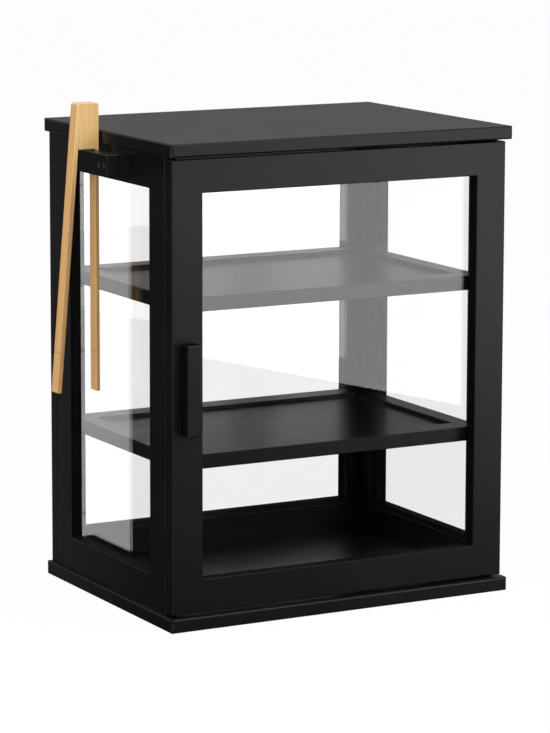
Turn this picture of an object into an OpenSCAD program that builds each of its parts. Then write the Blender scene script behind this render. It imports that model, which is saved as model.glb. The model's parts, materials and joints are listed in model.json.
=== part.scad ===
// Countertop bread display bin: a glazed wooden case with a door, two lift-out shelves
// and a pair of bamboo tongs hung on a bar at its left side.
// The origin is the middle of the base board's underside. +X is right, +Y is back, +Z is up.

/* [Overall] */
// Width of the base board and the top board
board_w = 404; // [360:1:460]
// Depth of the base board and the top board
board_d = 303; // [270:1:340]
// Height from the counter to the top of the top board
total_h = 500; // [420:1:560]

/* [Boards] */
// Thickness of the base board
base_t = 14.5; // [12:0.5:20]
// Thickness of the top board
top_t = 14; // [12:0.5:20]
// Radius of the boards' corners, seen from above
board_corner_r = 5; // [3:0.5:12]
// Radius worked along the boards' edges
board_edge_r = 2; // [0.5:0.5:4]

/* [Case] */
// Width of the case between its outer side faces
case_w = 394; // [350:1:440]
// How far the boards stand out in front of the door
front_overhang = 7.5; // [4:0.5:15]
// How far the boards stand out behind the back frame
back_overhang = 4; // [2:0.5:15]
// Thickness of the strips that all the frames are made of
strip_t = 15; // [13:0.5:18]
// Width of the stiles, and of the door's rails
stile_w = 35; // [30:1:45]
// Width of the rails in the side frames and the back frame
case_rail_w = 36; // [30:1:45]
// Radius worked along the outer edges of the frames
arris_r = 1.5; // [0.5:0.25:3]
// Small chamfer round each window, on its outer face
window_chamfer = 0.8; // [0.4:0.1:1.5]

/* [Panes] */
// Thickness of the clear panes
pane_t = 2; // [1.5:0.5:3]
// How far a pane laps onto its frame, all round
pane_lap = 6; // [4:1:8]

/* [Shelves] */
// Height of the lower shelf's underside above the counter; the upper one is at twice that
shelf_rise = 162.5; // [140:0.5:175]
// Thickness of a shelf
shelf_t = 15; // [12:0.5:18]
// Width of a shelf's front and back rails
shelf_rail_w = 27; // [18:1:35]
// Width of its end rails
shelf_end_w = 20; // [14:1:30]
// Thickness of the panel let into the shelf's rails
shelf_panel_t = 6; // [3:0.5:7]
// How far the panel lies below the top of the rails
shelf_sink = 4; // [2:0.5:6]
// Depth of the groove that holds the panel
shelf_groove = 5; // [3:0.5:8]
// Diameter of a shelf pin
shelf_pin_d = 5; // [4:0.5:6]

/* [Door] */
// Gap between the base board and the door
door_gap_below = 2; // [1:0.5:4]
// Gap between the door and the top board
door_gap_above = 2.5; // [1:0.5:4]
// Gap between the door and the case, which the hinge leaves fill
door_gap_behind = 1.5; // [1.5:0.1:2.5]
// Width of the handle
handle_w = 16; // [12:1:22]
// Length of the handle
handle_l = 94; // [60:1:140]
// How far the handle stands out of the door
handle_d = 16; // [10:1:24]

/* [Hinges] */
// Length of a hinge
hinge_l = 38; // [30:1:50]
// Radius of the hinge knuckles
knuckle_r = 2.2; // [2:0.1:2.4]
// Radius of the hinge pin
pin_r = 1; // [0.8:0.1:1.2]
// Thickness of a hinge leaf
leaf_t = 0.7; // [0.5:0.05:0.72]
// Height of each hinge's middle above and below the middle of the door
hinge_spread = 160; // [100:5:180]

/* [Tongs bar] */
// Length of the bar that the tongs hang on
bar_l = 82.5; // [70:0.5:110]
// Height of the bar
bar_h = 23; // [16:1:30]
// Thickness of the bar
bar_t = 14.5; // [12:0.5:17]
// Thickness of the block that holds the bar off the case
bar_block_t = 13; // [11:0.5:18]
// Length of that block
bar_block_l = 28; // [22:1:40]
// Distance from the bar's front end to the front of the door
bar_setback = 93; // [60:0.5:120]
// How far the bar's top lies below the top board
bar_drop = 5.5; // [2:0.5:20]

/* [Tongs] */
// Length of the straight inner arm
tongs_l = 302.5; // [250:0.5:320]
// Width of the arms
tongs_w = 15; // [12:1:20]
// Thickness of the inner arm
inner_arm_t = 4; // [3:0.5:5]
// Thickness of the outer arm
outer_arm_t = 5; // [3:0.5:5]
// Height of the wedge between the arms
wedge_h = 48; // [40:0.5:60]
// Thickness of the wedge where the bar touches it
wedge_t = 19.4; // [18:0.1:22]
// Angle between the arms
splay = 4.7; // [3:0.1:6]
// Gap between the case and the inner arm
arm_gap = 7.4; // [4:0.1:8]
// Distance from the bar's front end to the middle of the arms
tongs_along = 66.5; // [40:0.5:72]

/* [Hidden] */
$fn = 64;
EPS = 0.02;          // how far a cutter runs past a face
PAST = 1;            // the same for a rough cutter
CLEAR = 0.05;        // radial clearance of dowels, screws and pins in their holes

case_back = board_d / 2 - back_overhang;
door_front = -board_d / 2 + front_overhang;
door_back = door_front + strip_t;
case_front = door_back + door_gap_behind;
side_back = case_back - strip_t;
side_d = side_back - case_front;
case_h = total_h - top_t - base_t;
case_top = base_t + case_h;
inner_w = case_w - 2 * strip_t;
side_mid = (side_back + case_front) / 2;
edge_x = case_w / 2 - strip_t / 2;       // middle of a side frame's thickness
pane_play = 0.2;                         // gap round a pane in its rebate

door_z = base_t + door_gap_below;
door_h = case_top - door_gap_above - door_z;
door_mid_z = door_z + door_h / 2;

frame_dowel_d = 6;
frame_dowel_l = 30;
board_dowel_d = 8;
board_dowel_l = 24;
board_dowel_up = 10;                     // how much of a dowel goes into the top board
board_dowel_y = 68;                      // their places, from the middle of the side
back_fix_x = 100;                        // places of the fixings in the back rails
screw_d = 3.5;
screw_head_d = 7;
screw_head_h = 2.2;
small_screw_d = 2.2;
small_head_d = 4;
small_head_h = 1.2;
base_screw_l = 40;
back_screw_l = 35;
back_screw_z = [for (share = [0.12, 0.5, 0.88]) base_t + share * case_h];
drive_w = 0.9;                           // width of the cross cut in a screw head
drive_share = 0.6;                       // its length and depth, as shares of the head's

shelf_play = 0.5;                        // gap between a shelf and the case, each side
shelf_w = inner_w - 2 * shelf_play;
shelf_d = side_d - 2 * shelf_play;
pin_l = 16;
pin_in = 8;                              // how much of a shelf pin is in the stile
groove_z = shelf_t - shelf_sink - shelf_panel_t;
shelf_corner_r = 1;
shelf_edge_r = 0.8;

knuckle_off = 0.3;                       // gap between the case's side and a knuckle
hinge_x = case_w / 2 + knuckle_r + knuckle_off;
hinge_y = door_back + door_gap_behind / 2;
leaf_w = 12;                             // width of a leaf on the wood
leaf_gap = door_gap_behind - 2 * leaf_t; // gap between the closed leaves
leaf_screw_x = -8.5;                     // from the pin's axis
leaf_screw_z = 12;
leaf_screw_l = 10;
knuckles = 5;
knuckle_gap = 0.2;
knuckle_room = 0.25;                     // gap between a knuckle and the other leaf
pin_head_r = knuckle_r * 0.8;
pin_head_h = 0.8;

magnet_d = 10;
magnet_l = 5;
magnet_proud = 1.1;
plate_d = 12;
plate_t = 1;
catch_z = door_mid_z;
catch_x = -edge_x;
handle_x = -case_w / 2 + stile_w / 2;
handle_screw_z = 27;
handle_screw_l = 25;
handle_r = 1.5;

bar_front = door_front + bar_setback;
bar_outer = -case_w / 2 - bar_block_t - bar_t;
bar_top = case_top - bar_drop;
bar_mid_z = bar_top - bar_h / 2;
bar_screw_in = 6;                        // from the bar's front end to the first screw
bar_screw_pitch = 12;
bar_screw_y = [for (i = [0, 1]) bar_front + bar_screw_in + i * bar_screw_pitch];
bar_screw_l = 38;
bar_corner_r = 1;
bar_edge_r = 0.8;

tongs_y = bar_front + tongs_along;       // middle of the arms' width
inner_arm_x = -case_w / 2 - arm_gap - inner_arm_t;
wedge_lift = 0.1;                        // gap between the bar and the wedge
wedge_z = bar_top + wedge_lift;
tongs_top = wedge_z + wedge_h;
flex_x = inner_arm_x - wedge_t;          // where the outer arm leaves the wedge
flex_gap = 0.1;
free_arm_l = tongs_l - wedge_h;
butt_r = 3;                              // rounding of the two outer edges of the glued end's top

BLACK = [0.13, 0.13, 0.135];
SHELF_BLACK = [0.16, 0.16, 0.165];
CLEAR_PANE = [0.86, 0.93, 0.95, 0.35];
BAMBOO = [0.83, 0.66, 0.42];
STEEL = [0.62, 0.63, 0.65];
BEECH = [0.79, 0.66, 0.48];

// ---- shared shapes ----

// A rectangle with round corners, from [0, 0] to [w, h]
module round_rect(w, h, r) {
    translate([r, 0]) square([w - 2 * r, h]);
    translate([0, r]) square([w, h - 2 * r]);
    for (x = [r, w - r], y = [r, h - r]) translate([x, y]) circle(r = r);
}

// A block with round upright edges and round top and bottom edges
module eased_block(w, d, h, upright_r, edge_r) {
    intersection() {
        linear_extrude(h) round_rect(w, d, upright_r);
        translate([0, d + EPS, 0]) rotate([90, 0, 0])
            linear_extrude(d + 2 * EPS) round_rect(w, h, edge_r);
        translate([-EPS, 0, 0]) rotate([90, 0, 90])
            linear_extrude(w + 2 * EPS) round_rect(d, h, edge_r);
    }
}

// A countersunk screw: its head is flush with z = 0 and it points down
module screw(l, d = screw_d, head_d = screw_head_d, head_h = screw_head_h) {
    difference() {
        union() {
            translate([0, 0, -l]) cylinder(d = d, h = l);
            translate([0, 0, -head_h]) cylinder(d1 = d, d2 = head_d, h = head_h);
        }
        for (a = [0, 90]) rotate(a)
            translate([-head_d * drive_share / 2, -drive_w / 2, -head_h * drive_share])
                cube([head_d * drive_share, drive_w, head_h]);
    }
}

// The hole that such a screw needs
module screw_hole(l, d = screw_d, head_d = screw_head_d, head_h = screw_head_h) {
    translate([0, 0, -l - PAST]) cylinder(d = d + 2 * CLEAR, h = l + PAST + EPS);
    translate([0, 0, -head_h]) cylinder(d1 = d + 2 * CLEAR, d2 = head_d, h = head_h);
    cylinder(d = head_d, h = EPS);
}

// ---- frames ----
// A frame lies in its own x-z plane: its outer face is at y = 0 and its inner face at y = strip_t

module frame_slab(w, h, ends_eased) {
    if (ends_eased) eased_block(w, strip_t, h, arris_r, arris_r);
    else linear_extrude(h) round_rect(w, strip_t, arris_r);
}

module frame_form(w, h, rail, ends_eased) {
    window_w = w - 2 * stile_w;
    window_h = h - 2 * rail;
    difference() {
        frame_slab(w, h, ends_eased);
        translate([stile_w, -EPS, rail]) cube([window_w, strip_t + 2 * EPS, window_h]);
        hull() {
            translate([stile_w - window_chamfer - EPS, -EPS, rail - window_chamfer - EPS])
                cube([window_w + 2 * (window_chamfer + EPS), EPS, window_h + 2 * (window_chamfer + EPS)]);
            translate([stile_w, window_chamfer, rail]) cube([window_w, EPS, window_h]);
        }
        translate([stile_w - pane_lap, strip_t - pane_t, rail - pane_lap])
            cube([window_w + 2 * pane_lap, pane_t + EPS, window_h + 2 * pane_lap]);
    }
}

// Two dowels across each of a frame's four corner joints
module frame_dowels(w, h, rail, clearance = 0) {
    for (x = [stile_w, w - stile_w], z = [rail / 4, rail * 3 / 4, h - rail * 3 / 4, h - rail / 4])
        translate([x - frame_dowel_l / 2, strip_t / 2, z]) rotate([0, 90, 0])
            cylinder(d = frame_dowel_d + 2 * clearance, h = frame_dowel_l);
}

// The part of a frame that one strip takes: stiles run the full height, and rails fit between them
module strip_space(w, h, rail, part) {
    rail_l = w - 2 * stile_w;
    across = strip_t + 2 * PAST;
    up = h + 2 * PAST;
    if (part == "near stile") translate([-PAST, -PAST, -PAST]) cube([stile_w + PAST, across, up]);
    if (part == "far stile") translate([w - stile_w, -PAST, -PAST]) cube([stile_w + PAST, across, up]);
    if (part == "bottom rail") translate([stile_w, -PAST, -PAST]) cube([rail_l, across, rail + PAST]);
    if (part == "top rail") translate([stile_w, -PAST, h - rail]) cube([rail_l, across, rail + PAST]);
}

module frame_strip(w, h, rail, part, ends_eased = false) difference() {
    intersection() {
        frame_form(w, h, rail, ends_eased);
        strip_space(w, h, rail, part);
    }
    frame_dowels(w, h, rail, CLEAR);
}

module frame_pane(w, h, rail) {
    from_side = stile_w - pane_lap + pane_play;
    from_end = rail - pane_lap + pane_play;
    translate([from_side, strip_t - pane_t, from_end]) cube([w - 2 * from_side, pane_t, h - 2 * from_end]);
}

// Where the frames stand
module on_left() translate([-case_w / 2, side_back, base_t]) rotate([0, 0, -90]) children();
module on_right() translate([case_w / 2, case_front, base_t]) rotate([0, 0, 90]) children();
module on_back() translate([case_w / 2, case_back, base_t]) rotate([0, 0, 180]) children();
module on_door() translate([-case_w / 2, door_front, door_z]) children();

module side_strip(part) frame_strip(side_d, case_h, case_rail_w, part);
module back_strip(part) frame_strip(case_w, case_h, case_rail_w, part);
module door_strip(part) frame_strip(case_w, door_h, stile_w, part, ends_eased = true);

// ---- places of the fixings ----

module at_base_screws() {
    for (side = [-1, 1], y = [-board_dowel_y, 0, board_dowel_y])
        translate([side * edge_x, side_mid + y, 0]) rotate([180, 0, 0]) children();
    for (side = [-1, 1])
        translate([side * back_fix_x, case_back - strip_t / 2, 0]) rotate([180, 0, 0]) children();
}

module at_back_screws()
    for (side = [-1, 1], z = back_screw_z)
        translate([side * edge_x, case_back, z]) rotate([-90, 0, 0]) children();

module board_dowels(clearance = 0) {
    spots = [for (side = [-1, 1], y = [-board_dowel_y, board_dowel_y]) [side * edge_x, side_mid + y],
             for (side = [-1, 1]) [side * back_fix_x, case_back - strip_t / 2]];
    for (spot = spots) translate([spot.x, spot.y, case_top + board_dowel_up - board_dowel_l])
        cylinder(d = board_dowel_d + 2 * clearance, h = board_dowel_l);
}

module at_shelf_pins()
    for (side = [-1, 1], y = [case_front + stile_w / 2, side_back - stile_w / 2], level = [1, 2])
        translate([side * (inner_w / 2 + pin_in), y, level * shelf_rise - shelf_pin_d / 2])
            rotate([0, -side * 90, 0]) children();

module at_bar_screws()
    for (y = bar_screw_y) translate([bar_outer, y, bar_mid_z]) rotate([0, -90, 0]) children();

module at_handle_screws()
    for (z = [-handle_screw_z, handle_screw_z])
        translate([handle_x, door_back, door_mid_z + z]) rotate([-90, 0, 0]) children();

module at_hinges() for (side = [-1, 1]) at_hinge(side) children();
module at_hinge(side)
    translate([hinge_x, hinge_y, door_mid_z + side * hinge_spread - hinge_l / 2]) children();

module at_door_leaf_screws()
    at_hinges() for (z = [-leaf_screw_z, leaf_screw_z])
        translate([leaf_screw_x, -leaf_gap / 2, hinge_l / 2 + z]) rotate([-90, 0, 0]) children();

module at_case_leaf_screws()
    at_hinges() for (z = [-leaf_screw_z, leaf_screw_z])
        translate([leaf_screw_x, leaf_gap / 2, hinge_l / 2 + z]) rotate([90, 0, 0]) children();

module leaf_screw() screw(leaf_screw_l, small_screw_d, small_head_d, small_head_h);
module leaf_screw_hole() screw_hole(leaf_screw_l, small_screw_d, small_head_d, small_head_h);

module at_catch(y) translate([catch_x, y, catch_z]) rotate([-90, 0, 0]) children();

// ---- boards ----

module board(t) eased_block(board_w, board_d, t, board_corner_r, board_edge_r);

module base_board() color(BLACK) difference() {
    translate([-board_w / 2, -board_d / 2, 0]) board(base_t);
    at_base_screws() screw_hole(base_screw_l);
}

module top_board() color(BLACK) difference() {
    translate([-board_w / 2, -board_d / 2, case_top]) board(top_t);
    board_dowels(CLEAR);
}

// ---- case ----

module left_back_stile() color(BLACK) difference() {
    on_left() side_strip("near stile");
    at_shelf_pins() pin_hole();
    at_back_screws() screw_hole(back_screw_l);
}

module left_front_stile() color(BLACK) difference() {
    on_left() side_strip("far stile");
    at_shelf_pins() pin_hole();
    at_catch(case_front)
        cylinder(d = magnet_d + 2 * CLEAR, h = 2 * (magnet_l - magnet_proud), center = true);
}

module left_top_rail() color(BLACK) difference() {
    on_left() side_strip("top rail");
    board_dowels(CLEAR);
    at_bar_screws() screw_hole(bar_screw_l);
}

module left_bottom_rail() color(BLACK) difference() {
    on_left() side_strip("bottom rail");
    at_base_screws() screw_hole(base_screw_l);
}

module right_front_stile() color(BLACK) difference() {
    on_right() side_strip("near stile");
    at_shelf_pins() pin_hole();
    at_case_leaf_screws() leaf_screw_hole();
}

module right_back_stile() color(BLACK) difference() {
    on_right() side_strip("far stile");
    at_shelf_pins() pin_hole();
    at_back_screws() screw_hole(back_screw_l);
}

module right_top_rail() color(BLACK) difference() {
    on_right() side_strip("top rail");
    board_dowels(CLEAR);
}

module right_bottom_rail() color(BLACK) difference() {
    on_right() side_strip("bottom rail");
    at_base_screws() screw_hole(base_screw_l);
}

module back_right_stile() color(BLACK) difference() {
    on_back() back_strip("near stile");
    at_back_screws() screw_hole(back_screw_l);
}

module back_left_stile() color(BLACK) difference() {
    on_back() back_strip("far stile");
    at_back_screws() screw_hole(back_screw_l);
}

module back_top_rail() color(BLACK) difference() {
    on_back() back_strip("top rail");
    board_dowels(CLEAR);
}

module back_bottom_rail() color(BLACK) difference() {
    on_back() back_strip("bottom rail");
    at_base_screws() screw_hole(base_screw_l);
}

module left_pane() color(CLEAR_PANE) on_left() frame_pane(side_d, case_h, case_rail_w);
module right_pane() color(CLEAR_PANE) on_right() frame_pane(side_d, case_h, case_rail_w);
module back_pane() color(CLEAR_PANE) on_back() frame_pane(case_w, case_h, case_rail_w);

module case_dowels() color(BEECH) {
    on_left() frame_dowels(side_d, case_h, case_rail_w);
    on_right() frame_dowels(side_d, case_h, case_rail_w);
    on_back() frame_dowels(case_w, case_h, case_rail_w);
    board_dowels();
}

module base_screws() color(STEEL) at_base_screws() screw(base_screw_l);
module back_screws() color(STEEL) at_back_screws() screw(back_screw_l);

module shelf_pin() cylinder(d = shelf_pin_d, h = pin_l);
module pin_hole() cylinder(d = shelf_pin_d + 2 * CLEAR, h = pin_in + EPS);
module shelf_pins() color(STEEL) at_shelf_pins() shelf_pin();

// ---- shelves ----
// A shelf's own corner is its front left one, at the height of its underside

module at_shelf(level)
    translate([-shelf_w / 2, case_front + shelf_play, level * shelf_rise]) children();

module shelf_long_rail() difference() {
    eased_block(shelf_w, shelf_rail_w, shelf_t, shelf_corner_r, shelf_edge_r);
    translate([-EPS, shelf_rail_w - shelf_groove, groove_z])
        cube([shelf_w + 2 * EPS, shelf_groove + EPS, shelf_panel_t]);
}

// The end rails have a stub tenon at each end, which fills the long rails' grooves
module shelf_end_rail() {
    between = shelf_d - 2 * shelf_rail_w;
    difference() {
        translate([0, shelf_rail_w, 0]) cube([shelf_end_w, between, shelf_t]);
        translate([shelf_end_w - shelf_groove, 0, groove_z])
            cube([shelf_groove + EPS, shelf_d, shelf_panel_t]);
    }
    translate([0, shelf_rail_w - shelf_groove, groove_z])
        cube([shelf_end_w - shelf_groove, between + 2 * shelf_groove, shelf_panel_t]);
}

module shelf_front_rail(level) color(SHELF_BLACK) at_shelf(level) shelf_long_rail();
module shelf_back_rail(level) color(SHELF_BLACK) at_shelf(level)
    translate([0, shelf_d, 0]) mirror([0, 1, 0]) shelf_long_rail();
module shelf_left_rail(level) color(SHELF_BLACK) at_shelf(level) shelf_end_rail();
module shelf_right_rail(level) color(SHELF_BLACK) at_shelf(level)
    translate([shelf_w, 0, 0]) mirror([1, 0, 0]) shelf_end_rail();
module shelf_panel(level) color(SHELF_BLACK) at_shelf(level)
    translate([shelf_end_w - shelf_groove, shelf_rail_w - shelf_groove, groove_z])
        cube([shelf_w - 2 * (shelf_end_w - shelf_groove),
              shelf_d - 2 * (shelf_rail_w - shelf_groove), shelf_panel_t]);

// ---- door ----

module door_left_stile() color(BLACK) difference() {
    on_door() door_strip("near stile");
    at_handle_screws() screw_hole(handle_screw_l);
    at_catch(door_back) {
        translate([0, 0, -plate_t]) cylinder(d = plate_d + 2 * CLEAR, h = plate_t + EPS);
        screw_hole(leaf_screw_l, small_screw_d, small_head_d, small_head_h);
    }
}

module door_right_stile() color(BLACK) difference() {
    on_door() door_strip("far stile");
    at_door_leaf_screws() leaf_screw_hole();
}

module door_top_rail() color(BLACK) on_door() door_strip("top rail");
module door_bottom_rail() color(BLACK) on_door() door_strip("bottom rail");
module door_pane() color(CLEAR_PANE) on_door() frame_pane(case_w, door_h, stile_w);
module door_dowels() color(BEECH) on_door() frame_dowels(case_w, door_h, stile_w);

module door_handle() color(BLACK) difference() {
    translate([handle_x - handle_w / 2, door_front, door_mid_z - handle_l / 2]) rotate([90, 0, 0])
        handle_bar();
    at_handle_screws() screw_hole(handle_screw_l);
}

// The bar as it lies on its back: all its edges are eased but those against the door
module handle_bar() intersection() {
    linear_extrude(handle_d) round_rect(handle_w, handle_l, handle_r);
    translate([0, handle_l + EPS, -handle_d]) rotate([90, 0, 0])
        linear_extrude(handle_l + 2 * EPS) round_rect(handle_w, 2 * handle_d, handle_r);
    translate([-EPS, 0, -handle_d]) rotate([90, 0, 90])
        linear_extrude(handle_w + 2 * EPS) round_rect(handle_l, 2 * handle_d, handle_r);
}

module handle_screws() color(STEEL) at_handle_screws() screw(handle_screw_l);

// ---- hinges ----
// A hinge's own origin is the bottom of its pin's axis; the closed leaves run towards -x

module knuckle_stack(first, grow_r, grow_z) {
    step = hinge_l / knuckles;
    for (i = [first : 2 : knuckles - 1])
        translate([0, 0, i * step + knuckle_gap / 2 - grow_z])
            cylinder(r = knuckle_r + grow_r, h = step - knuckle_gap + 2 * grow_z);
}

module hinge_leaf(first) {
    plate_w = leaf_w + hinge_x - case_w / 2;
    difference() {
        union() {
            difference() {
                translate([-plate_w, leaf_gap / 2, 0]) cube([plate_w - pin_r, leaf_t, hinge_l]);
                knuckle_stack(1 - first, knuckle_room, knuckle_gap);
            }
            knuckle_stack(first, 0, 0);
        }
        translate([0, 0, -PAST]) cylinder(r = pin_r + CLEAR, h = hinge_l + 2 * PAST);
    }
}

module case_leaf(side) color(STEEL) difference() {
    at_hinge(side) hinge_leaf(0);
    at_case_leaf_screws() leaf_screw_hole();
}

module door_leaf(side) color(STEEL) difference() {
    at_hinge(side) mirror([0, 1, 0]) hinge_leaf(1);
    at_door_leaf_screws() leaf_screw_hole();
}

// Each pin has a low button head at both ends
module hinge_pins() color(STEEL) at_hinges() {
    cylinder(r = pin_r, h = hinge_l);
    for (z = [-pin_head_h, hinge_l]) translate([0, 0, z]) cylinder(r = pin_head_r, h = pin_head_h);
}

module case_leaf_screws() color(STEEL) at_case_leaf_screws() leaf_screw();
module door_leaf_screws() color(STEEL) at_door_leaf_screws() leaf_screw();

// ---- catch ----

module catch_magnet() color(STEEL) at_catch(case_front)
    translate([0, 0, -magnet_proud]) cylinder(d = magnet_d, h = magnet_l);

module strike_plate() color(STEEL) difference() {
    at_catch(door_back) translate([0, 0, -plate_t]) cylinder(d = plate_d, h = plate_t);
    at_catch(door_back) screw_hole(leaf_screw_l, small_screw_d, small_head_d, small_head_h);
}

module strike_screw() color(STEEL) at_catch(door_back) leaf_screw();

// ---- tongs bar ----

module tongs_bar() color(BLACK) difference() {
    translate([bar_outer, bar_front, bar_top - bar_h])
        eased_block(bar_t, bar_l, bar_h, bar_corner_r, bar_edge_r);
    at_bar_screws() screw_hole(bar_screw_l);
}

module tongs_bar_block() color(BLACK) difference() {
    translate([bar_outer + bar_t, bar_front, bar_top - bar_h]) cube([bar_block_t, bar_block_l, bar_h]);
    at_bar_screws() screw_hole(bar_screw_l);
}

module tongs_bar_screws() color(STEEL) at_bar_screws() screw(bar_screw_l);

// ---- tongs ----

// An upright strip seen from the front, with its far top corner rounded
module strip_side(t, h) intersection() {
    square([t, h]);
    union() {
        square([t - butt_r, h]);
        square([t, h - butt_r]);
        translate([t - butt_r, h - butt_r]) circle(r = butt_r);
    }
}

// Gives a shape drawn from the front the width of the arms
module across_arms() rotate([90, 0, 0]) linear_extrude(tongs_w) children();

module tongs_inner_arm() color(BAMBOO)
    translate([inner_arm_x, tongs_y + tongs_w / 2, tongs_top - tongs_l])
        across_arms() strip_side(inner_arm_t, tongs_l);

module tongs_wedge() color(BAMBOO) translate([0, tongs_y + tongs_w / 2, 0]) across_arms()
    polygon([[flex_x, wedge_z], [inner_arm_x, wedge_z], [inner_arm_x, tongs_top],
             [flex_x + wedge_h * tan(splay), tongs_top]]);

// The outer arm's own frame: z runs up along it from the point where it leaves the wedge
module along_outer_arm()
    translate([flex_x, tongs_y + tongs_w / 2, wedge_z]) rotate([0, splay, 0]) children();

// The glued end of the outer arm, against the wedge
module tongs_outer_butt() color(BAMBOO) along_outer_arm()
    mirror([1, 0, 0]) across_arms() strip_side(outer_arm_t, wedge_h / cos(splay));

// The free length of the outer arm, which bends where it leaves the wedge
module tongs_outer_arm() color(BAMBOO) along_outer_arm()
    translate([-outer_arm_t, -tongs_w, -free_arm_l]) cube([outer_arm_t, tongs_w, free_arm_l - flex_gap]);

base_board();
top_board();
left_back_stile();
left_front_stile();
left_top_rail();
left_bottom_rail();
right_front_stile();
right_back_stile();
right_top_rail();
right_bottom_rail();
back_right_stile();
back_left_stile();
back_top_rail();
back_bottom_rail();
left_pane();
right_pane();
back_pane();
case_dowels();
base_screws();
back_screws();
shelf_pins();
shelf_front_rail(1);  // lower_shelf_front_rail
shelf_back_rail(1);  // lower_shelf_back_rail
shelf_left_rail(1);  // lower_shelf_left_rail
shelf_right_rail(1);  // lower_shelf_right_rail
shelf_panel(1);  // lower_shelf_panel
shelf_front_rail(2);  // upper_shelf_front_rail
shelf_back_rail(2);  // upper_shelf_back_rail
shelf_left_rail(2);  // upper_shelf_left_rail
shelf_right_rail(2);  // upper_shelf_right_rail
shelf_panel(2);  // upper_shelf_panel
door_left_stile();
door_right_stile();
door_top_rail();
door_bottom_rail();
door_pane();
door_dowels();
door_handle();
handle_screws();
case_leaf(-1);  // lower_hinge_case_leaf
case_leaf(1);  // upper_hinge_case_leaf
door_leaf(-1);  // lower_hinge_door_leaf
door_leaf(1);  // upper_hinge_door_leaf
hinge_pins();
case_leaf_screws();
door_leaf_screws();
catch_magnet();
strike_plate();
strike_screw();
tongs_bar();
tongs_bar_block();
tongs_bar_screws();
tongs_inner_arm();
tongs_wedge();
tongs_outer_butt();
tongs_outer_arm();
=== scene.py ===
import json
import math

import bpy
from mathutils import Matrix, Vector


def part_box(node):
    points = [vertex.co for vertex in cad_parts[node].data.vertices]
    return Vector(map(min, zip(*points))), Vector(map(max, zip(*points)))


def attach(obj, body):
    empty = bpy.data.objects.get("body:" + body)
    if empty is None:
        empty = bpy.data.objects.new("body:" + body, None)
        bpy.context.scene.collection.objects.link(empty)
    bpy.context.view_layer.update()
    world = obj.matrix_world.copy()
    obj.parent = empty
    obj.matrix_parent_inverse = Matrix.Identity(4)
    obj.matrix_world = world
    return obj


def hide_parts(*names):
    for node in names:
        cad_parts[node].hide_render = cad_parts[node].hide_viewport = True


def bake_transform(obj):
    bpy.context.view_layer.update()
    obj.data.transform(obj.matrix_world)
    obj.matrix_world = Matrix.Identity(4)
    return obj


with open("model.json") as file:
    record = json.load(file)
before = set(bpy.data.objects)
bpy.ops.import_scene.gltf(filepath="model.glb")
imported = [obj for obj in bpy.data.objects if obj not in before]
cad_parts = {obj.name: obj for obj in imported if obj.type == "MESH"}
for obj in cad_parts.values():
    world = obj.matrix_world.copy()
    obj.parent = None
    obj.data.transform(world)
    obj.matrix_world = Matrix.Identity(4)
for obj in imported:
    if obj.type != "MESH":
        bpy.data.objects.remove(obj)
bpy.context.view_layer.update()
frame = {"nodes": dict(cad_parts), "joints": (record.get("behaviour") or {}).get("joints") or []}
nodes = frame["nodes"]


# ---- base board and top board ----
# Two equal boards of fibreboard with softly rounded edges, sprayed satin black.
# The case stands on the lower one and carries the upper one on dowels.

MM = 0.001
PAINT_BLACK = (0.0023, 0.0023, 0.0024)
PAINT_WORN = (0.0038, 0.0038, 0.0040)   # where the coat lies thinner
PAINT_GLOSS = 0.34        # mean roughness of the coat
GRAIN_ACROSS = 900.0      # waves of the wood's grain in a metre, across it
GRAIN_ALONG = 14.0        # and along it
SPRAY_SPOTS = 1400.0      # spots of spray in a metre
COAT_CLOUDS = 9.0         # clouds in the coat in a metre
SPRAY_ROUGH = 0.06        # what the spots add to the roughness
CLOUD_ROUGH = 0.03        # and what the clouds add
COAT_RELIEF = 0.05 * MM   # depth of grain and spray in the coat
RIM_REACH = 0.2 * MM      # a face that lies this close to a window's edge belongs to its rim
# Painted shade: a rim loses this share of its gloss, so that the window's reveals look dark.
RIM_SHADE = 0.9            # share of its gloss that a rim has lost


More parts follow.
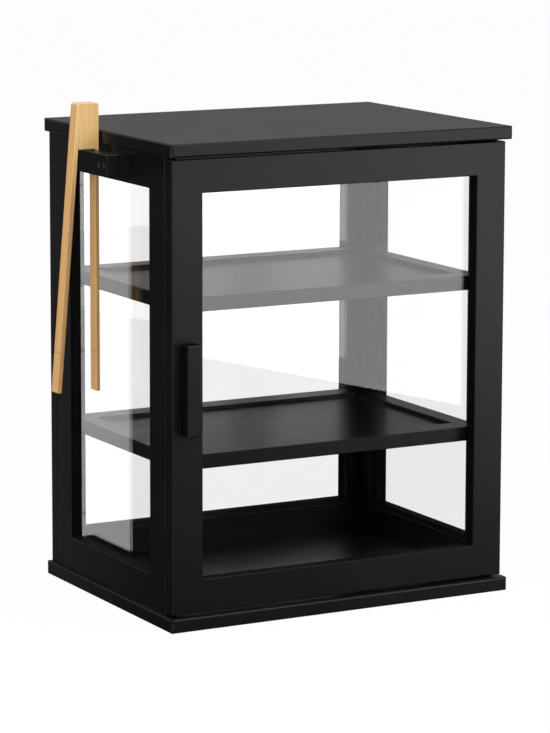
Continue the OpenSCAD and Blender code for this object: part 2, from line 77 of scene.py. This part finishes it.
class Wire:
    """One output of a shader node. Maths on wires is written as maths on numbers."""

    def __init__(self, tree, socket=None):
        self.tree = tree
        self.socket = socket

    def node(self, kind, settings=None, sockets=None, out=0):
        """Adds a node, makes its settings, fills its sockets, and returns one output's wire."""
        made = self.tree.nodes.new("ShaderNode" + kind)
        for name, value in (settings or {}).items():
            setattr(made, name, value)
        for name, value in (sockets or {}).items():
            if isinstance(value, Wire):
                self.tree.links.new(value.socket, made.inputs[name])
            else:
                made.inputs[name].default_value = value
        return Wire(self.tree, made.outputs[out] if made.outputs else None)

    def maths(self, operation, *others):
        return self.node("Math", {"operation": operation}, dict(enumerate((self, *others))))

    def __add__(self, other):
        return self.maths("ADD", other)

    def __sub__(self, other):
        return self.maths("SUBTRACT", other)

    def __rsub__(self, other):
        return self.node("Math", {"operation": "SUBTRACT"}, {0: other, 1: self})

    def __mul__(self, other):
        return self.maths("MULTIPLY", other)

    __radd__ = __add__
    __rmul__ = __mul__

    def size(self):
        """The number without its sign."""
        return self.maths("ABSOLUTE")

    def between(self, low, high):
        """0 up to low, 1 from high, and a smooth rise in between."""
        return self.node(
            "MapRange",
            {"interpolation_type": "SMOOTHSTEP"},
            {"Value": self, "From Min": low, "From Max": high},
        )

    def rise(self, low, high, least):
        """The same, but it starts from least."""
        return self.between(low, high) * (1.0 - least) + least

    def shade(self, first, second):
        """The first colour where this wire is 0, and the second where it is 1."""
        # 6, 7 and 2 are the node's colours. Its sockets for numbers have the same names.
        sockets = {0: self, 6: colour(first), 7: colour(second)}
        return self.node("Mix", {"data_type": "RGBA"}, sockets, out=2)

    def mixed(self, first, second):
        """The first shader where this wire is 0, and the second where it is 1."""
        return self.node("MixShader", None, {0: self, 1: first, 2: second})

    def parts(self):
        """The three numbers of a vector."""
        made = self.node("SeparateXYZ", None, {0: self}).socket.node
        return [Wire(self.tree, output) for output in made.outputs]

    def stretched(self, scale):
        """A vector times a scale for each axis."""
        return self.node("VectorMath", {"operation": "MULTIPLY"}, {0: self, 1: scale})


def colour(value):
    """A colour as a socket takes it."""
    return value if isinstance(value, Wire) else (*value, 1.0)


def new_finish(name):
    """A material with an empty node tree, and the wire that its nodes are hung on."""
    finish = bpy.data.materials.new(name)
    finish.use_nodes = True
    finish.node_tree.nodes.clear()
    return finish, Wire(finish.node_tree)


def in_metres(start):
    """The place on the whole object."""
    return start.node("TexCoord", out="Object")


def noise(start, place, detail=2.0, rough=0.5):
    """Cloudy noise, one wave to each unit of place."""
    sockets = {"Vector": place, "Scale": 1.0, "Detail": detail, "Roughness": rough}
    return start.node("TexNoise", None, sockets)


def speckle(start, count, detail=2.0, rough=0.5):
    """Noise that is alike in all directions, with a count of waves in a metre."""
    return noise(start, in_metres(start).stretched((count,) * 3), detail, rough)


def relief(start, height, depth, strength):
    """A surface that rises by a depth where height is 1."""
    return start.node("Bump", None, {"Strength": strength, "Distance": depth, "Height": height})


def coat(start, **sockets):
    """One Principled shader. The spaces in the sockets' names are written as underscores."""
    return start.node("BsdfPrincipled", None, {k.replace("_", " "): v for k, v in sockets.items()})


def finished(start, finish, shader):
    """Ends a material with its shader."""
    start.node("OutputMaterial", None, {"Surface": shader})
    return finish


def on_rim(start, rim):
    """1 on the faces that look into a window, and 0 elsewhere.
    The rim is an axis, the window's two edges along it, and its lower and upper edge."""

    def past_edges(place, low, high):
        return (place - (low + high) / 2).size() - (high - low) / 2

    axis, sides, heights = rim
    place = in_metres(start).parts()
    outside = past_edges(place[axis], *sides).maths("MAXIMUM", past_edges(place[2], *heights))
    return outside.size().maths("LESS_THAN", RIM_REACH)


def satin_paint(name, along, gloss=PAINT_GLOSS, rim=None):
    """Sprayed black paint. The wood's grain, which runs along one axis, shows through it faintly.
    On the rim of a window it loses most of its gloss, as painted shade that darkens the reveals."""
    finish, start = new_finish(name)
    grain_scale = [GRAIN_ACROSS] * 3
    grain_scale[along] = GRAIN_ALONG
    grain = noise(start, in_metres(start).stretched(grain_scale), detail=3.0, rough=0.6)
    spray = speckle(start, SPRAY_SPOTS)
    cloud = speckle(start, COAT_CLOUDS, detail=4.0, rough=0.6).between(0.3, 0.7)
    smoothest = gloss - (CLOUD_ROUGH + SPRAY_ROUGH) / 2
    paint = {
        "Base_Color": (cloud * 0.7 + grain * 0.3).shade(PAINT_BLACK, PAINT_WORN),
        "Roughness": cloud * CLOUD_ROUGH + spray * SPRAY_ROUGH + smoothest,
        "Normal": relief(start, grain * 0.6 + spray * 0.4, COAT_RELIEF, strength=0.25),
    }
    shader = coat(start, **paint)
    # Painted shade: the faces on a window's rim lose most of their gloss, so that they look dark.
    if rim:
        dull = coat(start, Specular_IOR_Level=0.0, **paint)
        shader = (on_rim(start, rim) * RIM_SHADE).mixed(shader, dull)
    return finished(start, finish, shader)


def dress(finish, *names):
    """Gives CAD nodes their finish."""
    for name in names:
        slots = nodes[name].data.materials
        slots.clear()
        slots.append(finish)


board_paint = satin_paint("board_paint", along=0)
dress(board_paint, "base_board", "top_board")


# ---- side frames and back frame ----
# Flat strips of wood, dowelled together at the corners and sprayed before the panes go in.
# Each strip is cut with the grain along it, so stiles and rails have paint of their own.


def window(axis, near, far, bottom, top):
    """The rim of the window between two stiles and two rails."""
    return (
        axis,
        (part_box(near)[1][axis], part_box(far)[0][axis]),
        (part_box(bottom)[1].z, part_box(top)[0].z),
    )


side_window = window(1, "left_front_stile", "left_back_stile", "left_bottom_rail", "left_top_rail")
for side in ("left", "right"):
    side_stile_paint = satin_paint(f"{side}_stile_paint", along=2, rim=side_window)
    side_rail_paint = satin_paint(f"{side}_rail_paint", along=1, rim=side_window)
    dress(side_stile_paint, f"{side}_back_stile", f"{side}_front_stile")
    dress(side_rail_paint, f"{side}_top_rail", f"{side}_bottom_rail")

back_window = window(0, "back_left_stile", "back_right_stile", "back_bottom_rail", "back_top_rail")
back_stile_paint = satin_paint("back_stile_paint", along=2, rim=back_window)
back_rail_paint = satin_paint("back_rail_paint", along=0, rim=back_window)
dress(back_stile_paint, "back_left_stile", "back_right_stile")
dress(back_rail_paint, "back_top_rail", "back_bottom_rail")


# ---- panes ----
# Clear polished sheets, 2 mm thick, set flush with the inside of each frame.
# They mirror a little, more at a slant, and take very little of the light that passes.

PANE_TINT = (0.996, 0.998, 0.998)
PANE_MIRROR = 0.034      # share of the light that one face mirrors head-on
SLANT_POWER = 5.0        # how steeply that rises towards a grazing view
SMUDGES = 7.0            # smudges in a metre
SMUDGE_DULL = 0.06       # share of the mirrored light that a smudge takes


def clear_sheet(name):
    """A clear sheet with a few smudges, which shows what is behind it without bending it."""
    finish, start = new_finish(name)
    smudge = speckle(start, SMUDGES, detail=3.0).between(0.45, 0.75)
    slant = start.node("LayerWeight", None, {"Blend": 0.5}, out="Facing")
    clean = slant.maths("POWER", SLANT_POWER) * (1.0 - PANE_MIRROR) + PANE_MIRROR
    mirrored = clean * (1.0 - smudge * SMUDGE_DULL)
    through = start.node("BsdfTransparent", None, {"Color": colour(PANE_TINT)})
    gloss = start.node("BsdfAnisotropic", None, {"Color": (1.0, 1.0, 1.0, 1.0), "Roughness": 0.0})
    return finished(start, finish, mirrored.mixed(through, gloss))


pane_sheet = clear_sheet("pane_sheet")
dress(pane_sheet, "left_pane", "right_pane", "back_pane")


# ---- dowels, screws and shelf pins of the case ----
# Fluted beech dowels in the frames' corners and under the top board, and zinc-plated
# countersunk screws up through the base board and in through the back frame.

BEECH_PALE = (0.58, 0.40, 0.235)
BEECH_DARK = (0.42, 0.26, 0.135)
BEECH_GLOSS = 0.5        # roughness of the wood between its pores
BEECH_PORES = 1200.0     # pores in a metre
ZINC = (0.56, 0.57, 0.59)
ZINC_DULL = (0.40, 0.41, 0.43)
TURNING_MARKS = 2500.0   # marks in a metre
PLATE_CLOUDS = 160.0     # clouds in the plating in a metre


def beech_rod(name):
    """Raw beech with dark, dull pores."""
    finish, start = new_finish(name)
    pores = speckle(start, BEECH_PORES).between(0.4, 0.7)
    return finished(start, finish, coat(
        start,
        Base_Color=pores.shade(BEECH_PALE, BEECH_DARK),
        Roughness=pores * 0.1 + BEECH_GLOSS,
        Normal=relief(start, pores, 0.1 * MM, strength=0.3),
    ))


def plated_steel(name, bright, dull, gloss):
    """Plated steel with fine turning marks and a cloudy coat."""
    finish, start = new_finish(name)
    marks = speckle(start, TURNING_MARKS)
    cloud = speckle(start, PLATE_CLOUDS, detail=3.0).between(0.35, 0.7)
    return finished(start, finish, coat(
        start,
        Base_Color=cloud.shade(bright, dull),
        Metallic=1.0,
        Roughness=cloud * 0.12 + marks * 0.08 + gloss,
        Normal=relief(start, marks, 0.05 * MM, strength=0.2),
    ))


dowel_wood = beech_rod("dowel_wood")
zinc_steel = plated_steel("zinc_steel", ZINC, ZINC_DULL, gloss=0.28)
dress(dowel_wood, "case_dowels")
dress(zinc_steel, "base_screws", "back_screws", "shelf_pins")


# ---- shelves ----
# Two alike: four rails round a panel that lies a little lower, so that nothing rolls off.
# They have a smoother coat than the case, and lie loose on four pins each.

SHELF_GLOSS = 0.29

shelf_rail_paint = satin_paint("shelf_rail_paint", along=0, gloss=SHELF_GLOSS)
shelf_end_paint = satin_paint("shelf_end_paint", along=1, gloss=SHELF_GLOSS)
for level in ("lower", "upper"):
    dress(
        shelf_rail_paint,
        f"{level}_shelf_front_rail", f"{level}_shelf_back_rail", f"{level}_shelf_panel",
    )
    dress(shelf_end_paint, f"{level}_shelf_left_rail", f"{level}_shelf_right_rail")


# ---- door ----
# A frame like the others, with a pane flush with its inside and a plain bar for a handle,
# which two screws hold from behind. The handle's sides lose their gloss, as painted shade, like a
# window's rim.

door_window = window(0, "door_left_stile", "door_right_stile", "door_bottom_rail", "door_top_rail")
door_stile_paint = satin_paint("door_stile_paint", along=2, rim=door_window)
door_rail_paint = satin_paint("door_rail_paint", along=0, rim=door_window)
dress(door_stile_paint, "door_left_stile", "door_right_stile")
dress(door_rail_paint, "door_top_rail", "door_bottom_rail")
dress(pane_sheet, "door_pane")
dress(dowel_wood, "door_dowels")

handle_low, handle_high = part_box("door_handle")
# The handle's sides and ends get the same painted shade as a window's rim.
handle_sides = (0, (handle_low.x, handle_high.x), (handle_low.z, handle_high.z))
dress(satin_paint("handle_paint", along=2, rim=handle_sides), "door_handle")
dress(zinc_steel, "handle_screws")


# ---- hinges and catch ----
# Two small butt hinges of black-plated steel fill the gap behind the door's right edge.
# A magnet in the case pulls on a zinc-plated disc that is screwed to the door.

BLACK_PLATE = (0.030, 0.030, 0.032)
BLACK_PLATE_DULL = (0.018, 0.018, 0.019)

black_steel = plated_steel("black_steel", BLACK_PLATE, BLACK_PLATE_DULL, gloss=0.34)
dress(
    black_steel,
    "lower_hinge_case_leaf", "upper_hinge_case_leaf", "lower_hinge_door_leaf",
    "upper_hinge_door_leaf", "hinge_pins", "case_leaf_screws", "door_leaf_screws",
)
dress(zinc_steel, "catch_magnet", "strike_plate", "strike_screw")


# ---- tongs bar ----
# A short bar that a block holds off the left side under the top board, with two
# dark plated screws through both into the rail behind.

DARK_ZINC = (0.34, 0.34, 0.36)
DARK_ZINC_DULL = (0.20, 0.20, 0.21)

dress(satin_paint("block_paint", along=0), "tongs_bar_block")
dress(satin_paint("bar_paint", along=1), "tongs_bar")
dress(plated_steel("dark_zinc", DARK_ZINC, DARK_ZINC_DULL, gloss=0.3), "tongs_bar_screws")


# ---- tongs ----
# Two strips of laminated bamboo glued to a wedge, sanded, with their arrises taken off.
# The inner arm hangs behind the bar, and the outer one stands off and bends to grip.

BAMBOO_BUTT = (0.740, 0.485, 0.205)     # the butt's front, where the laminate's layers show
BAMBOO_BUTT_DEEP = (0.560, 0.340, 0.120)
BAMBOO_SHADED_EDGE = (0.420, 0.230, 0.078)     # the arms' edges, darkened as painted shade of the case
BAMBOO_SHADED_EDGE_DEEP = (0.260, 0.125, 0.034)
BAMBOO_FACE = (0.740, 0.450, 0.182)     # the arms' broad faces
BAMBOO_FACE_DEEP = (0.560, 0.290, 0.092)
BAMBOO_ARRIS_HIGHLIGHT = (0.700, 0.560, 0.350)    # painted highlight along the sanded arrises
BAMBOO_VEIN = (0.330, 0.160, 0.050)
BAMBOO_GLOSS = 0.44      # roughness of the smoothest fibres
BUTT_FADE = (0.41, 0.50) # heights between which the arms' edges turn into the butt's front
LAYER_T = 3.3 * MM       # thickness of a layer of the laminate
WEDGE_CUT = (1.3 * MM, 0.7 * MM, 0.0)   # how far the wedge's layers are off the inner arm's
OUTER_CUT = 3.1 * MM     # and the outer arm's
NODE_AT = 0.268          # height of the stalk's node, where a darker ring crosses the strips
NODE_WAVER = 3 * MM      # how far the ring wanders up and down
NODE_RING = (0.3 * MM, 1.4 * MM)        # from its middle, where it starts to fade and is gone
ARRIS = 0.6 * MM         # how much of an arris is sanded off
BUTT_R = 3 * MM          # rounding of the butt's two upper corners, sanded after gluing
SPLAY = math.radians(4.7)               # angle between the arms
OUTER_T = 5 * MM         # thickness of the outer arm
BEND_L = 60 * MM         # length over which the outer arm bends
BEND_RINGS = 20          # rings of faces in that length
INSIDE = MM              # a corner or edge this close to the end of a strip belongs to it
ACROSS = 10 * MM         # an edge longer than this runs across a strip


def bamboo_strip(name):
    """Laminated bamboo. It reads each strip's own lengthwise place, and which way each face
    is turned."""
    finish, start = new_finish(name)
    own = start.node("Attribute", {"attribute_name": "along_strip"}, out="Vector")
    thick, wide, high = own.parts()

    def fibres(across, along, detail=2.0, rough=0.5):
        """Noise drawn out along the strip, with a count of waves in a metre each way."""
        return noise(start, own.stretched((across, across, along)), detail, rough)

    drift = fibres(60.0, 6.0) * 0.25
    layers = [(place * (1.0 / LAYER_T) + drift).maths("FLOOR") for place in (thick, wide)]
    cell = start.node("CombineXYZ", None, {0: layers[0], 1: layers[1], 2: 0.0})
    lamina = start.node("TexWhiteNoise", {"noise_dimensions": "3D"}, {"Vector": cell})
    fine = fibres(2400.0, 24.0, detail=3.0, rough=0.65)
    coarse = fibres(700.0, 7.0)
    depth = lamina * 0.34 + fine * 0.30 + coarse.between(0.3, 0.7) * 0.42

    facing = start.node("Attribute", {"attribute_name": "facing"}, out="Vector").parts()
    sideways, forwards = (turn.size() for turn in facing[:2])
    broad = sideways.between(0.75, 0.97)
    arris = 1.0 - sideways.maths("MAXIMUM", forwards).between(0.86, 0.99)
    # Painted shade: below the top board the arms' edges take the darker edge colours, for the case's
    # shade.
    narrow = high.between(*BUTT_FADE).shade(
        depth.shade(BAMBOO_SHADED_EDGE, BAMBOO_SHADED_EDGE_DEEP), depth.shade(BAMBOO_BUTT, BAMBOO_BUTT_DEEP)
    )
    body = broad.shade(narrow, depth.shade(BAMBOO_FACE, BAMBOO_FACE_DEEP))
    # Painted highlight: the arrises are mixed towards a pale colour, as if they caught the light.
    body = (arris * 0.4).shade(body, BAMBOO_ARRIS_HIGHLIGHT)

    veins = fibres(520.0, 4.5).between(0.56, 0.70)
    from_node = (high + fibres(300.0, 40.0) * NODE_WAVER - (NODE_AT + NODE_WAVER / 2)).size()
    node_ring = 1.0 - from_node.between(*NODE_RING)
    marks = (veins * 0.30).maths("MAXIMUM", node_ring * 0.45)
    return finished(start, finish, coat(
        start,
        Base_Color=marks.shade(body, BAMBOO_VEIN),
        Roughness=fine * 0.12 + BAMBOO_GLOSS,
        Normal=relief(start, fine * 0.7 + coarse * 0.3 - marks * 0.6, 0.12 * MM, strength=0.35),
    ))


bamboo = bamboo_strip("bamboo")


def take(piece):
    """Selects one piece alone."""
    bpy.ops.object.select_all(action="DESELECT")
    bpy.context.view_layer.objects.active = piece
    piece.select_set(True)


def block(name, low, high):
    """A block between two corners, with its place in its mesh."""
    bpy.ops.object.select_all(action="DESELECT")
    bpy.ops.mesh.primitive_cube_add(size=1.0, location=(low + high) / 2)
    piece = bpy.context.active_object
    piece.name = piece.data.name = name
    piece.scale = high - low
    bpy.ops.object.transform_apply(location=True, rotation=True, scale=True)
    return piece


def round_corners(piece, near):
    """Rounds the edges that run across a strip and whose middles satisfy the test near."""
    take(piece)
    bpy.ops.object.mode_set(mode="EDIT")
    bpy.ops.mesh.select_mode(type="EDGE")
    bpy.ops.mesh.select_all(action="DESELECT")
    bpy.ops.object.mode_set(mode="OBJECT")
    for edge in piece.data.edges:
        a, b = (piece.data.vertices[i].co for i in edge.vertices)
        edge.select = abs(b.y - a.y) > ACROSS and near((a + b) / 2)
    bpy.ops.object.mode_set(mode="EDIT")
    bpy.ops.mesh.bevel(offset=BUTT_R, offset_type="OFFSET", segments=6, profile=0.5)
    bpy.ops.object.mode_set(mode="OBJECT")


def cut_rings(piece, heights):
    """Cuts a strip into rings of faces at the given heights."""
    take(piece)
    bpy.ops.object.mode_set(mode="EDIT")
    for height in heights:
        bpy.ops.mesh.select_all(action="SELECT")
        bpy.ops.mesh.bisect(plane_co=(0.0, 0.0, height), plane_no=(0.0, 0.0, 1.0))
    bpy.ops.object.mode_set(mode="OBJECT")


def finish_strip(piece, own):
    """Eases and smooths the arrises, and stores what the bamboo reads. The matrix own takes
    a place on the piece to its place in the laminate."""
    bevel = piece.modifiers.new("arris", "BEVEL")
    bevel.width = ARRIS
    bevel.segments = 3
    bevel.limit_method = "ANGLE"
    bevel.angle_limit = math.radians(40)
    take(piece)
    bpy.ops.object.modifier_apply(modifier=bevel.name)
    bpy.ops.object.shade_smooth_by_angle(angle=math.radians(35))
    flat = piece.modifiers.new("flat_faces", "WEIGHTED_NORMAL")
    flat.keep_sharp = True
    bpy.ops.object.modifier_apply(modifier=flat.name)
    along = piece.data.attributes.new("along_strip", "FLOAT_VECTOR", "POINT")
    for vertex, value in zip(piece.data.vertices, along.data):
        value.vector = own @ vertex.co
    facing = piece.data.attributes.new("facing", "FLOAT_VECTOR", "FACE")
    for face, value in zip(piece.data.polygons, facing.data):
        value.vector = face.normal
    piece.data.materials.append(bamboo)


inner_low, inner_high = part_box("tongs_inner_arm")
wedge_low, wedge_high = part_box("tongs_wedge")
flex = Vector(next(j["pos_m"] for j in frame["joints"] if j["name"] == "tongs_squeeze"))
wedge_h = wedge_high.z - wedge_low.z

inner_arm = block("tongs_inner_strip", inner_low, inner_high)
round_corners(
    inner_arm, lambda middle: middle.z > inner_high.z - INSIDE and middle.x > inner_high.x - INSIDE
)
finish_strip(inner_arm, Matrix.Identity(4))
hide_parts("tongs_inner_arm")
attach(inner_arm, "tongs")

wedge = block("tongs_glued_wedge", wedge_low, wedge_high)
for vertex in wedge.data.vertices:
    if vertex.co.x < wedge_low.x + INSIDE and vertex.co.z > wedge_high.z - INSIDE:
        vertex.co.x += math.tan(SPLAY) * wedge_h
finish_strip(wedge, Matrix.Translation(WEDGE_CUT))
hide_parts("tongs_wedge")
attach(wedge, "tongs")

# The outer strip is made upright, with the flex point on its inner face, then tilted into place.
butt_l = (inner_high.z - flex.z) / math.cos(SPLAY)
outer_l = butt_l + (inner_high.z - inner_low.z) - wedge_h
half_w = (inner_high.y - inner_low.y) / 2
outer = block(
    "tongs_outer_strip",
    Vector((-OUTER_T, -half_w, butt_l - outer_l)),
    Vector((0.0, half_w, butt_l)),
)
round_corners(outer, lambda middle: middle.z > butt_l - INSIDE and middle.x < INSIDE - OUTER_T)
cut_rings(outer, [-k * BEND_L / BEND_RINGS for k in range(2 * BEND_RINGS)])
finish_strip(outer, Matrix.Translation((OUTER_CUT, 0.0, flex.z)))
outer.data.transform(Matrix.Translation(flex) @ Matrix.Rotation(SPLAY, 4, "Y"))
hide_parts("tongs_outer_butt", "tongs_outer_arm")
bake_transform(outer)


# ---- floor, reflection cards, lamps and background ----
# A pale studio: a white floor, a large lamp high in front, a small one at the front right, one
# overhead and one at the left. Three white cards only mirror: sharply in the panes, or softly in
# the satin paint.

FLOOR_WIDTH = 40.0
FLOOR_BELOW = 0.2 * MM   # gap between the floor and the base board
FLOOR_WHITE = 0.96       # share of the floor that is plain white to the camera; the rest is shaded
FLOOR_GREY = (0.8, 0.8, 0.8)
WHITE = (1.0, 1.0, 1.0, 1.0)
AROUND = 0.55            # strength of the surroundings as light
SHEEN_HIGH = 0.27        # how bright the surroundings mirror in the paint, above the horizon
SHEEN_LOW = 0.55         # and below it, towards the back right
SHEEN_FRONT = 0.4        # share of that towards the front left
CARD_FRONT = 2.9         # the cards as the panes mirror them
CARD_LEFT = 1.45
CARD_LEFT_SOFT = 0.15    # and as the paint does
CARD_KEY_SOFT = 1.27
KEY_LOWEST = 0.07        # share of its light that the key card has at the counter
KEY_LEFTMOST = 0.52      # and at its left end
CASE_MIDDLE = (0.0, 0.0, 0.25)


def ray(start, name):
    """1 for rays of one kind."""
    return start.node("LightPath", out=name)


def seen(start):
    """1 for what the camera sees, also through a pane."""
    return ray(start, "Is Camera Ray").maths("MAXIMUM", ray(start, "Is Transmission Ray"))


def glow(start, strength):
    """White light."""
    return start.node("Emission", None, {"Color": WHITE, "Strength": strength})


bpy.ops.object.select_all(action="DESELECT")
bpy.ops.mesh.primitive_plane_add(size=FLOOR_WIDTH, location=(0.0, 0.0, -FLOOR_BELOW))
floor = bpy.context.active_object
floor.name = "floor"
floor_finish, start = new_finish("floor_white")
lit = start.node("BsdfDiffuse", None, {"Color": colour(FLOOR_GREY)})
floor_shader = (seen(start) * FLOOR_WHITE).mixed(lit, glow(start, 1.0))
floor.data.materials.append(finished(start, floor_finish, floor_shader))
floor.visible_glossy = False

# Gloss doesn't show these three: the tongs would mirror brown in the top board's edge, and the
# stile would hide the left card's reflection along the edge of the left pane.
for piece in (wedge, outer, nodes["left_back_stile"]):
    piece.visible_glossy = False


def card(name, corners, sharp, soft, fade=None):
    """A white card that only mirrors. Its corners are the lower left and right, then the upper
    left and right, and sharp and soft are its strengths in the panes and in the paint."""
    bpy.ops.object.select_all(action="DESELECT")
    bpy.ops.mesh.primitive_plane_add(size=1.0)
    made = bpy.context.active_object
    made.name = made.data.name = name
    for vertex, corner in zip(made.data.vertices, corners):
        vertex.co = corner
    finish, start = new_finish(name + "_white")
    if fade:
        soft = fade(start) * soft
    glows = [glow(start, share) if share else start.node("BsdfTransparent") for share in (soft, sharp)]
    shader = ray(start, "Is Singular Ray").mixed(*glows)
    made.data.materials.append(finished(start, finish, shader))
    made.visible_camera = made.visible_diffuse = False
    made.visible_transmission = made.visible_shadow = False


def dim_below_and_left(start):
    """The key card's light falls off towards the counter, and less towards the left."""
    rightwards, _, upwards = in_metres(start).parts()
    slant = upwards + (rightwards - 0.6) * 0.25
    return slant.rise(-0.20, 0.32, KEY_LOWEST) * rightwards.rise(0.15, 0.60, KEY_LEFTMOST)


card(
    "front_card",
    [(-0.10, -0.5, 0.240), (0.62, -0.5, 0.062), (-0.10, -0.5, 0.62), (0.62, -0.5, 0.62)],
    CARD_FRONT,
    0.0,
)
card(
    "left_card",
    [(-0.4, 0.422, -0.3), (-0.4, 0.80, -0.3), (-0.4, 0.422, 0.6), (-0.4, 0.80, 0.6)],
    CARD_LEFT,
    CARD_LEFT_SOFT,
)
card(
    "key_card",
    [(-0.3, -0.9, -0.4), (1.6, -0.9, -0.4), (-0.3, -0.9, 1.2), (1.6, -0.9, 1.2)],
    0.0,
    CARD_KEY_SOFT,
    fade=dim_below_and_left,
)


def lamp(name, place, size, watts):
    """A soft rectangular lamp, aimed at the middle of the case."""
    light = bpy.data.lights.new(name, "AREA")
    light.shape = "RECTANGLE"
    light.size, light.size_y = size
    light.energy = watts
    made = bpy.data.objects.new(name, light)
    bpy.context.scene.collection.objects.link(made)
    made.location = place
    made.rotation_euler = (Vector(CASE_MIDDLE) - Vector(place)).to_track_quat("-Z", "Y").to_euler()
    made.visible_camera = False


lamp("key_lamp", (0.95, -1.15, 0.85), (0.9, 0.8), 3.6)
lamp("front_lamp", (-0.6, -2.6, 1.9), (1.4, 1.0), 33.0)
lamp("top_lamp", (-0.2, -0.3, 2.2), (1.6, 1.6), 26.0)
lamp("left_lamp", (-2.2, -0.9, 1.2), (1.2, 1.6), 14.0)

world = bpy.data.worlds.new("studio")
world.use_nodes = True
world.node_tree.nodes.clear()
bpy.context.scene.world = world
start = Wire(world.node_tree)
rightwards, forwards, upwards = start.node("TexCoord", out="Generated").parts()
above = upwards.between(0.0, 0.14)
turned = (rightwards * forwards).between(-0.15, 0.30) * forwards.rise(-0.2, 0.2, SHEEN_FRONT)
sheen = above * SHEEN_HIGH + (1.0 - above) * turned * SHEEN_LOW
mirrored = ray(start, "Is Glossy Ray")
white = seen(start)
strength = white + (1.0 - white) * (mirrored * sheen + (1.0 - mirrored) * AROUND)
studio_light = start.node("Background", None, {"Color": WHITE, "Strength": strength})
start.node("OutputWorld", None, {"Surface": studio_light})


# ---- camera ----
# A long lens three and a half metres away, a little above the case and towards its left.
# Its place and turn are fitted to the corners of the two boards.

CAMERA_PLACE = (-1.6902, -3.0958, 0.8574)
CAMERA_TURN = 28.623     # degrees to the right of straight ahead
CAMERA_DOWN = 8.728      # degrees below the horizon
CAMERA_ROLL = 0.153
CAMERA_LENS = 163.89     # millimetres
CAMERA_RISE = -0.1       # the picture is cut a little low, so that the uprights stay nearly upright
CAMERA_REACH = 100.0     # how far it sees, so that the floor has no end

camera = bpy.data.objects.new("camera", bpy.data.cameras.new("camera"))
bpy.context.scene.collection.objects.link(camera)
camera.data.lens = CAMERA_LENS
camera.data.shift_y = CAMERA_RISE
camera.data.clip_end = CAMERA_REACH
camera.location = CAMERA_PLACE
camera.rotation_euler = (
    Matrix.Rotation(math.radians(-CAMERA_TURN), 4, "Z")
    @ Matrix.Rotation(math.radians(90.0 - CAMERA_DOWN), 4, "X")
    @ Matrix.Rotation(math.radians(CAMERA_ROLL), 4, "Z")
).to_euler()
bpy.context.scene.camera = camera
bpy.context.scene.view_settings.view_transform = "Standard"
